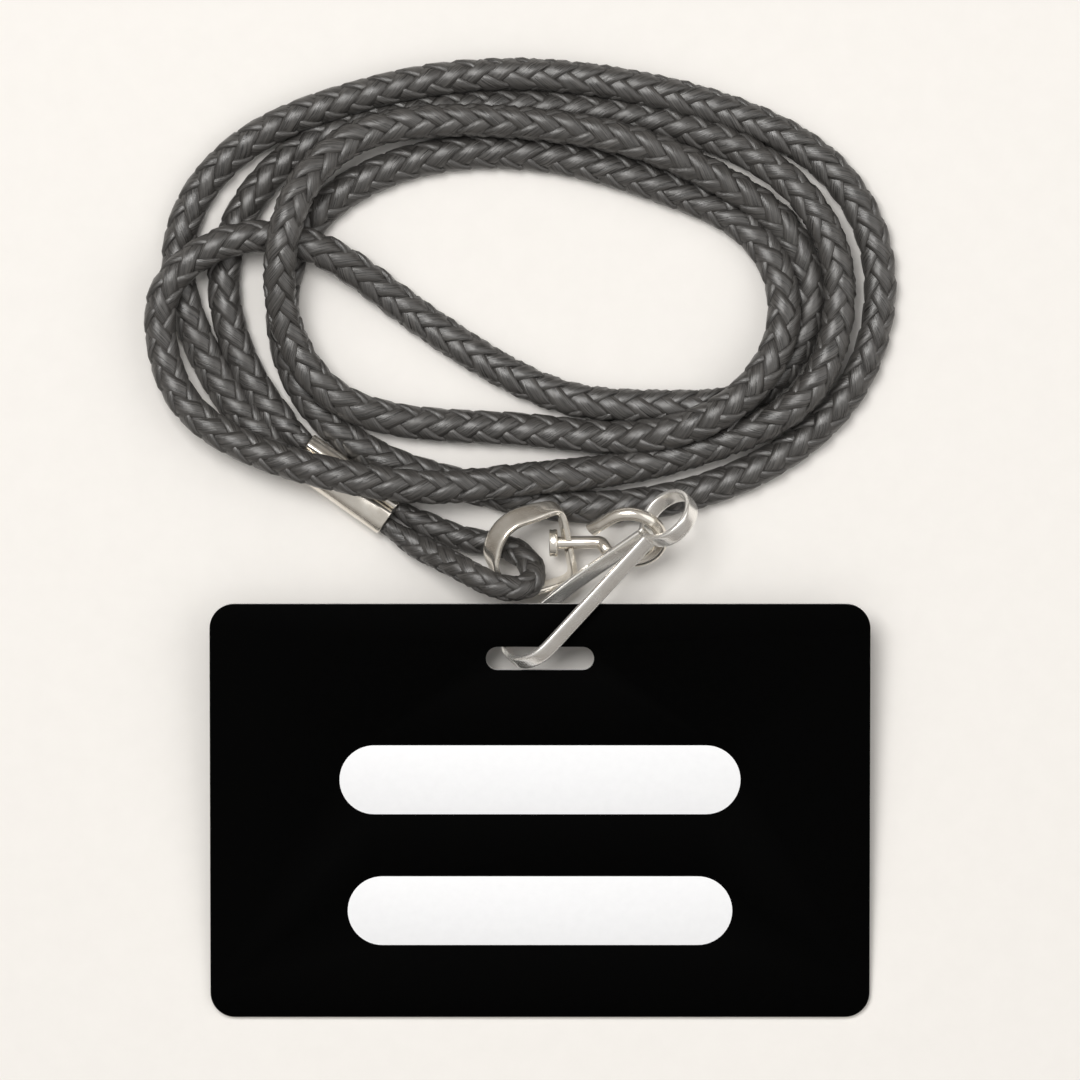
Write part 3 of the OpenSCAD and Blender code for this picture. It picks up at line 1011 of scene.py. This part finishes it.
@dataclass
class Swivel:
    """The pin: an upset head, a stem through the eye, and a ring bent from the same wire.

    Attributes:
        hole_at: the middle of the eye's hole.
        stem_turn: the stem's turns about X, Y and Z, in degrees.
        stem_run: how far the stem goes on from the hole.
        ring_mid: the ring's middle.
        ring_turn: the ring's turns about X, Y and Z, in degrees.
        ring_r: the radius of the wire's middle line round the ring.
        ring_start: where the wire joins the ring, in degrees.
        ring_sweep: how far round it goes, in degrees.
        tail: how far it runs straight on after that.
        tail_flat: the length of its end that is flattened.
        wire: its diameter.
        step: the spacing of the points along it.
        head_d: the head's diameter.
        head_t: the head's thickness.
        head_play: the room between the head and the eye.
        plate_t: the thickness of the eye's flat side.
    """

    hole_at: tuple[float, float, float] = (3.54, 23.8, 3.26)
    stem_turn: tuple[float, float, float] = (0, -1, 1)
    stem_run: float = 4.45
    ring_mid: tuple[float, float, float] = (11.75, 24.5, 5.88)
    ring_turn: tuple[float, float, float] = (40.5, -7.5, 0)
    ring_r: float = 4.0
    ring_start: float = -150
    ring_sweep: float = 278
    tail: float = 3.3
    tail_flat: float = 1.6
    wire: float = 1.7
    step: float = 0.22
    head_d: float = 3.6
    head_t: float = 0.6
    head_play: float = 0.8
    plate_t: float = 0.9

    def head_at(self) -> float:
        """Where the head's outer face is along the stem, from the hole."""
        return -self.plate_t / 2 - self.head_play - self.head_t

    def head_shape(self) -> list[tuple[float, float]]:
        """The cupped head's outline as (radius, place along the stem), from its outer middle."""
        r, t = self.head_d / 2, self.head_t
        return [(0.02, 0.12), (0.5 * r, 0.1), (0.72 * r, -0.04), (0.84 * r, -0.42), (0.93 * r, -0.48),
                (0.99 * r, -0.4), (0.95 * r, -0.05), (r, 0.2), (r, t - 0.14), (0.93 * r, t),
                (0.5 * r, t + 0.02), (0.4 * r, t + 0.1)]

    def bent_wire(self, stem: np.ndarray, hole: np.ndarray) -> bpy.types.Object:
        """Sweeps the wire from inside the head, through the eye and round the ring.

        Args:
            stem: the stem's direction.
            hole: the middle of the eye's hole.

        Returns:
            The wire.
        """
        ring = turned(self.ring_turn)
        start, bend = hole + (self.head_at() + 0.2) * stem, hole + self.stem_run * stem
        circle = arc_of((0, 0), self.ring_r, self.ring_start, self.ring_start + self.ring_sweep, 80)
        loop = np.column_stack([circle, np.zeros(len(circle))]) @ ring.T + np.array(self.ring_mid)
        tail = loop[-1] + self.tail * unit(loop[-1] - loop[-2])
        line = softened(resampled(np.vstack([start, bend, loop, tail]), self.step), 2)
        way = headings(line)
        lean = unit(np.cross(way, ring[:, 2] + 0.001))
        other = np.cross(way, lean)
        left = np.linspace((len(line) - 1) * self.step, 0, len(line))[:, None]
        flat = np.clip(1 - left / self.tail_flat, 0, 1)
        rail = Rail(line * MM, lean * self.wire / 2 * (1 + 0.12 * flat) * MM,
                    other * self.wire / 2 * (1 - 0.3 * flat) * MM)
        wire = finished(swept("swivel_wire", [rail], Section.ROUND, NICKEL), Body.SWIVEL, (), 60)
        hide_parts("swivel_pin")
        return wire

    def head(self, stem: np.ndarray, hole: np.ndarray, rounds: int = 40) -> bpy.types.Object:
        """Turns the head about the stem, not quite round.

        Args:
            stem: the stem's direction.
            hole: the middle of the eye's hole.
            rounds: the number of corners round it.

        Returns:
            The head.
        """
        shape = self.head_shape()
        outer = hole + self.head_at() * stem
        side = unit(np.cross(stem, UP))
        up = np.cross(side, stem)
        verts, faces = [], []
        for radius, along in shape:
            for k in range(rounds):
                a = 2 * math.pi * k / rounds
                wobble = 1 + 0.015 * math.sin(3 * a + 0.6)
                out = math.cos(a) * side + math.sin(a) * up
                verts.append((outer + stem * along + radius * wobble * out) * MM)
        for j in range(len(shape) - 1):
            for k in range(rounds):
                a, b = j * rounds + k, j * rounds + (k + 1) % rounds
                faces.append((a, b, b + rounds, a + rounds))
        faces.append(tuple(range(rounds))[::-1])
        faces.append(tuple((len(shape) - 1) * rounds + k for k in range(rounds)))
        head = shell("swivel_head", verts, faces, NICKEL)
        return finished(head, Body.SWIVEL, (), 50)

    def build(self) -> list[bpy.types.Object]:
        """Makes the wire and the head."""
        stem, hole = turned(self.stem_turn) @ np.array([1.0, 0, 0]), np.array(self.hole_at)
        return [self.bent_wire(stem, hole), self.head(stem, hole)]


# --- the hook ---

@dataclass
class Hook:
    """The J hook of flat spring wire and the gate that springs against its tip.

    Attributes:
        mid: the middle of the hook's own plane.
        turn: the plane's turns about X, Y and Z, in degrees.
        strip_w: the spring wire's width.
        strip_t: its thickness.
        step: the spacing of the points along it.
        loop_r: the radius of the loop that the swivel's ring runs in.
        loop_mid: the loop's middle.
        neck_turn: where the loop starts and ends, in degrees to each side.
        bend_r: the radius of the J bend.
        bend_end: where the J bend ends at the tip, in degrees.
        leg: the length of the straight leg.
        leg_slope: its slope in degrees.
        stub: how far the wire's start is over from the loop.
        gate_gap: the room round the gate's root and under the tip.
        gate_root: how far the gate's root is over from the loop.
        gate_knee: the gate's bend.
        gate_back: how far the gate's end is behind the middle of the J bend.
        taper: the wire's width at an end, as (distance from it, share of the width).
    """

    mid: tuple[float, float, float] = (13.1, 23.03, 8.0)
    turn: tuple[float, float, float] = (-53, -6, 41)
    strip_w: float = 2.2
    strip_t: float = 0.75
    step: float = 0.16
    loop_r: float = 3.6
    loop_mid: tuple[float, float] = (5.2, 1.1)
    neck_turn: float = 169
    bend_r: float = 4.2
    bend_end: float = 94
    leg: float = 19.3
    leg_slope: float = 10.4
    stub: float = 0.1
    gate_gap: float = 0.15
    gate_root: float = 0.06
    gate_knee: tuple[float, float] = (-9.5, 3.75)
    gate_back: float = 0.75
    taper: tuple[tuple[float, float], ...] = ((0.0, 0.8), (0.5, 0.96), (1.2, 1.0), (99.0, 1.0))

    def on_loop(self, angle: float) -> np.ndarray:
        """The point at an angle on the loop's middle line, in the hook's plane."""
        a = math.radians(angle)
        return np.array(self.loop_mid) + self.loop_r * np.array([math.cos(a), math.sin(a)])

    def bend_mid(self) -> np.ndarray:
        """Finds the middle of the J bend, at the end of the leg.

        Returns:
            The point, in the hook's plane.
        """
        s = math.radians(self.leg_slope)
        end = self.on_loop(-self.neck_turn) - self.leg * np.array([math.cos(s), math.sin(s)])
        return end + self.bend_r * np.array([-math.sin(s), math.cos(s)])

    def strip(self, name: str, flat: np.ndarray, reach: int) -> bpy.types.Object:
        """Sweeps the spring wire along a line in the hook's plane.

        Args:
            name: the piece's name.
            flat: the line's points.
            reach: how far its corners are eased, in points.

        Returns:
            The object, with the sweep still a modifier on it.
        """
        flat = softened(resampled(flat, self.step), reach)
        line = np.column_stack([flat, np.zeros(len(flat))])
        out = np.cross(headings(line), UP)
        frame_of = turned(self.turn)
        left = np.linspace(len(line) * self.step, 0, len(line))
        width = self.strip_w / 2 * np.interp(left, *zip(*self.taper))
        rail = Rail((line @ frame_of.T + np.array(self.mid)) * MM, (UP * width[:, None]) @ frame_of.T * MM,
                    out @ frame_of.T * self.strip_t / 2 * MM)
        return swept(name, [rail], Section.STRIP, BRIGHT)

    def build(self) -> list[bpy.types.Object]:
        """Makes the hook and its gate.

        Returns:
            The hook's wire and the gate.
        """
        bend = self.bend_mid()
        start = self.on_loop(self.neck_turn)
        stub = start + np.array([-(self.strip_t / 2 + 0.5 * self.gate_gap), self.stub])
        wire = np.vstack([stub, arc_of(self.loop_mid, self.loop_r, self.neck_turn, -self.neck_turn, 90),
                          arc_of(bend, self.bend_r, 270 + self.leg_slope, self.bend_end, 60)])
        hook = self.strip("hook_band", wire, 3)
        root = start + np.array([-(self.strip_t / 2 + 1.5 * self.gate_gap), self.gate_root])
        end = bend + np.array([-self.gate_back, self.bend_r - self.strip_t - self.gate_gap])
        gate = self.strip("gate_band", np.vstack([root, self.gate_knee, end]), 8)
        return [finished(hook, Body.HOOK, ("hook_wire",), 50),
                finished(gate, Body.GATE, ("gate_leg",), 50)]


# --- the badge card ---

@dataclass
class Card:
    """The laminated badge card: a white core between two black sheets, and two printed bars.

    Attributes:
        foot: the middle of its lower edge, on the table.
        tilt: how far its upper edge is raised, in degrees.
        width: its width.
        height: its height.
        core_t: the core's thickness.
        sheet_t: a sheet's thickness.
        corner: the radius of its corners.
        slot_w: the slot's width.
        slot_h: the slot's height.
        slot_edge: how far the slot is below the upper edge.
        bar_w: the upper bar's width.
        bar_h: a bar's height.
        bar_at: how high the upper bar's middle is, as a share of the card's height.
        bar_drop: how much lower the lower bar is, as the same share.
        bar_less: how much shorter it is, as a share of the upper bar.
        core_edge: the radius of the core's edges.
        sheet_edge: the radius of a sheet's edges.
        bar_edge: the radius of a bar's edges.
        sliver: what keeps the round ends of a slot or a bar from meeting in one point.
    """

    foot: tuple[float, float, float] = (0, -37.75, 0)
    tilt: float = 6.1
    width: float = 85.6
    height: float = 54.0
    core_t: float = 0.6
    sheet_t: float = 0.08
    corner: float = 3.2
    slot_w: float = 14.0
    slot_h: float = 3.0
    slot_edge: float = 5.6
    bar_w: float = 52.0
    bar_h: float = 9.0
    bar_at: float = 0.575
    bar_drop: float = 0.317
    bar_less: float = 0.04
    core_edge: float = 0.02
    sheet_edge: float = 0.03
    bar_edge: float = 0.01
    sliver: float = 0.001

    @staticmethod
    def rounded(mid: tuple[float, float], w: float, h: float, r: float) -> np.ndarray:
        """Draws a rectangle with round corners.

        Args:
            mid: its middle.
            w: its width.
            h: its height.
            r: the radius of its corners.

        Returns:
            The points of its outline.
        """
        x, y = mid
        return np.vstack([arc_of((x + sx * (w / 2 - r), y + sy * (h / 2 - r)), r, a, a + 90, 14)
                          for sx, sy, a in ((1, 1, 0), (-1, 1, 90), (-1, -1, 180), (1, -1, 270))])

    def layer(self, name: str, outlines: Sequence[np.ndarray], z: float, thickness: float, finish: Finish,
              slot: Slot, edge: float) -> bpy.types.Object:
        """Makes one flat layer with eased edges.

        Args:
            name: the piece's name, which the plain node shares but for its ending.
            outlines: the outline and its holes.
            z: the layer's lowest height in the card.
            thickness: its thickness.
            finish: what it is dressed in.
            slot: the record's material slot; not used.
            edge: the radius of its edges.

        Returns:
            The layer as a plain mesh at its place.
        """
        curve = bpy.data.curves.new(name, "CURVE")
        curve.dimensions, curve.fill_mode = "2D", "BOTH"
        curve.extrude, curve.bevel_depth, curve.bevel_resolution = thickness / 2 - edge, edge, 1
        curve.offset = -edge
        for outline in outlines:
            spline = curve.splines.new("POLY")
            spline.points.add(len(outline) - 1)
            spline.points.foreach_set("co", np.column_stack([outline, np.zeros(len(outline)),
                                                             np.ones(len(outline))]).ravel())
            spline.use_cyclic_u = True
        shape = added(name + "_shape", curve)
        graph = bpy.context.evaluated_depsgraph_get()
        mesh = bpy.data.meshes.new_from_object(shape.evaluated_get(graph), depsgraph=graph)
        bpy.data.objects.remove(shape)
        for move in (Matrix.Translation(Vector((0, 0, z + thickness / 2))),
                     Matrix.Rotation(math.radians(self.tilt), 4, "X"),
                     Matrix.Translation(Vector(self.foot)), Matrix.Scale(MM, 4)):
            mesh.transform(move)
        mesh.materials.clear()
        mesh.materials.append(finish.material())
        return finished(added(name, mesh), Body.CARD, (name.replace("_piece", ""),), 40)

    def build(self) -> list[bpy.types.Object]:
        """Makes the card's layers.

        Returns:
            The core, the two sheets and the bars.
        """
        card = self.rounded((0, self.height / 2), self.width, self.height, self.corner)
        gap = self.rounded((0, self.height - self.slot_edge - self.slot_h / 2), self.slot_w, self.slot_h,
                           self.slot_h / 2 - self.sliver)
        bars = [self.rounded((0, self.height * (self.bar_at - self.bar_drop * row)),
                             self.bar_w * (1 - self.bar_less * row), self.bar_h,
                             self.bar_h / 2 - self.sliver) for row in (0, 1)]
        top, sheet = self.sheet_t + self.core_t, (self.sheet_t, BLACK, Slot.BLACK, self.sheet_edge)
        bar = (self.sheet_t, WHITE, Slot.WHITE, self.bar_edge)
        return [
            self.layer("card_core_piece", [card, gap], self.sheet_t, self.core_t, PVC, Slot.WHITE,
                       self.core_edge),
            self.layer("card_front_sheet_piece", [card, gap, *bars], top, *sheet),
            self.layer("card_back_sheet_piece", [card, gap], 0, *sheet),
            self.layer("card_upper_bar_piece", bars[:1], top, *bar),
            self.layer("card_lower_bar_piece", bars[1:], top, *bar)]


# --- the studio ---

@dataclass(frozen=True)
class Lamp:
    """A square area light, aimed at the middle of the view.

    Attributes:
        name: its name.
        at: where it hangs.
        size: the length of its side.
        power: its power in watts.
        colour: its colour.
    """

    name: str
    at: tuple[float, float, float]
    size: float
    power: float
    colour: tuple[float, float, float]


KEY = Lamp("key", (-0.25, 0.32, 0.95), 0.5, 7.3, (1.0, 0.985, 0.965))
FILL = Lamp("fill", (0.6, 0.1, 0.6), 0.8, 1.7, (1.0, 0.98, 0.96))


@dataclass
class Studio:
    """A pale table seen from straight above, under broad soft lights.

    Attributes:
        view: the width of table that the camera takes in.
        aim: the middle of the view, on the table.
        lens: the focal length in millimetres, long so that nothing leans.
        sensor: the sensor's width in millimetres.
        table: how far the table reaches to each side.
        low: the light that comes from below and from the horizon.
        high: the light that comes from above.
        span: the heights between which one passes into the other.
        glow: the strength of both.
    """

    view: float = 140.4 * MM
    aim: tuple[float, float] = (0.0, 24.14 * MM)
    lens: float = 400.0
    sensor: float = 36.0
    table: float = 3.0
    low: tuple[float, float, float] = (0.26, 0.22, 0.18)
    high: tuple[float, float, float] = (1.0, 0.985, 0.96)
    span: tuple[float, float] = (0.15, 0.7)
    glow: float = 0.5

    def camera(self) -> None:
        """Hangs the camera above the table."""
        data = bpy.data.cameras.new("camera")
        data.lens, data.sensor_width = self.lens, self.sensor
        data.clip_start, data.clip_end = 0.01, 20.0
        obj = added("camera", data)
        obj.location = (*self.aim, self.view * self.lens / self.sensor)
        bpy.context.scene.camera = obj

    def light(self, lamp: Lamp) -> None:
        """Hangs one lamp and turns it to the middle of the view.

        Args:
            lamp: the lamp.
        """
        data = bpy.data.lights.new(lamp.name, "AREA")
        data.shape, data.size, data.energy, data.color = "SQUARE", lamp.size, lamp.power, lamp.colour
        obj = added(lamp.name, data)
        obj.location = lamp.at
        obj.rotation_euler = (Vector((*self.aim, 0)) - Vector(lamp.at)).to_track_quat("-Z", "Y").to_euler()

    def surroundings(self) -> None:
        """Lights the surroundings softly, more from above than from below."""
        world = bpy.data.worlds.new("studio")
        world.use_nodes = True
        bpy.context.scene.world = world
        tree = world.node_tree
        back = tree.nodes["Background"]
        place, split = tree.nodes.new("ShaderNodeTexCoord"), tree.nodes.new("ShaderNodeSeparateXYZ")
        ramp = shades(tree, self.span, (self.low, self.high))
        join(tree, (place, "Generated", split, 0), (split, 2, ramp, "Fac"), (ramp, "Color", back, "Color"))
        back.inputs["Strength"].default_value = self.glow

    def build(self) -> None:
        """Lays the table and lights it."""
        t = self.table
        table = shell("table_top", [(-t, -t, 0), (t, -t, 0), (t, t, 0), (-t, t, 0)], [(0, 1, 2, 3)], TABLE)
        self.light(KEY)
        self.light(FILL)
        bpy.context.scene.view_settings.view_transform = "Standard"
        self.surroundings()


def main() -> None:
    """Builds the lanyard piece by piece."""
    logging.basicConfig(level=logging.INFO, format="%(message)s")
    studio = Studio()
    studio.camera()
    Cord().build()
    Eye().build()
    Swivel().build()
    Hook().build()
    Card().build()
    studio.build()
    for profile in [o for o in bpy.data.objects if o.name.startswith("section_")]:
        bpy.data.objects.remove(profile)


if __name__ == "__main__":
    main()
